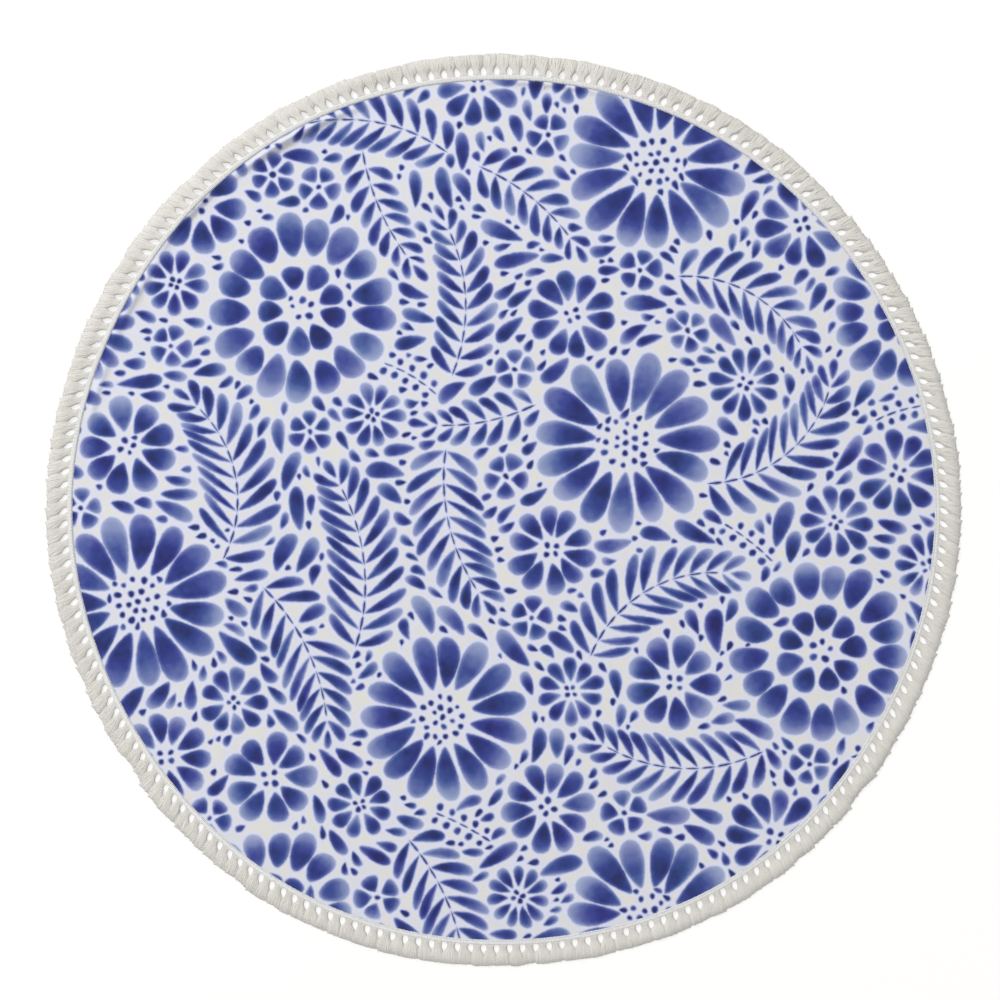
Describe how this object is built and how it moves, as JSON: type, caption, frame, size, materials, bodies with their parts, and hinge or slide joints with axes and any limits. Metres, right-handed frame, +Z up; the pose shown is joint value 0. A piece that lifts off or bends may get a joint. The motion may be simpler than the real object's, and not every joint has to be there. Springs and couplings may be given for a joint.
{
  "type": "round beach towel",
  "caption": "Round printed beach towel laid out flat, with a fringe of short cotton tufts all round its edge.",
  "frame": {"origin": "middle of the towel's outline, on the surface it lies on", "axes": "+Z up out of the printed face; +Y towards the edge that is at the top of the picture, +X towards its right edge"},
  "size_m": [1.5034, 1.5004, 0.0132],
  "materials": {
    "towelling": "soft matt sheared towelling, off-white, printed on its face with indigo watercolour flowers, sprays and dots",
    "cotton_yarn": "matt undyed cotton yarn, soft and slightly hairy"
  },
  "bodies": {
    "root": {"cloth": "towelling", "fringe": "cotton_yarn"}
  },
  "joints": []
}
